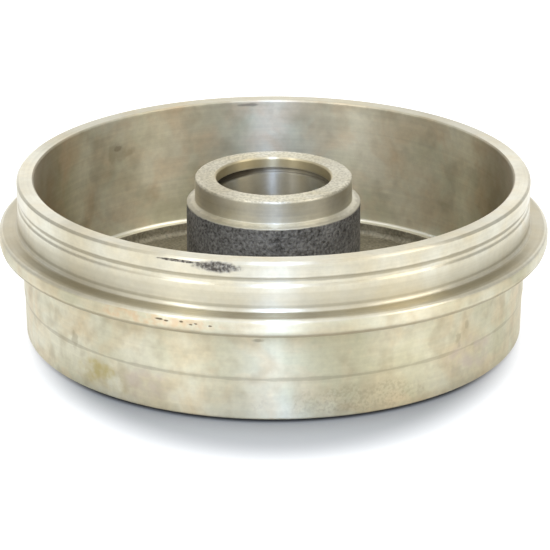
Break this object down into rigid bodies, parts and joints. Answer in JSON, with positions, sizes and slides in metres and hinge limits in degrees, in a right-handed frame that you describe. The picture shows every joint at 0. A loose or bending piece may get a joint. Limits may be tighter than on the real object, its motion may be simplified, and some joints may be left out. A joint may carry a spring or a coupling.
{
  "type": "brake drum with integral bearing hub",
  "caption": "Cast-iron brake drum with its bearing hub in one casting: shoes press on the bored ring and the wheel bolts to the closed face.",
  "frame": {"origin": "centre of the wheel face, the outboard face that the drum rests on", "axes": "+Z along the bore axis, from the wheel face to the open inboard side; +X and +Y lie midway between wheel-bolt holes"},
  "size_m": [0.2626, 0.2626, 0.0775],
  "materials": {
    "cast_iron": "grey iron with an oily yellowish cast, turned bright on the rim, friction surface and hub, as cast inside the bowl"
  },
  "bodies": {
    "root": {"brake_drum": "cast_iron"}
  },
  "joints": []
}
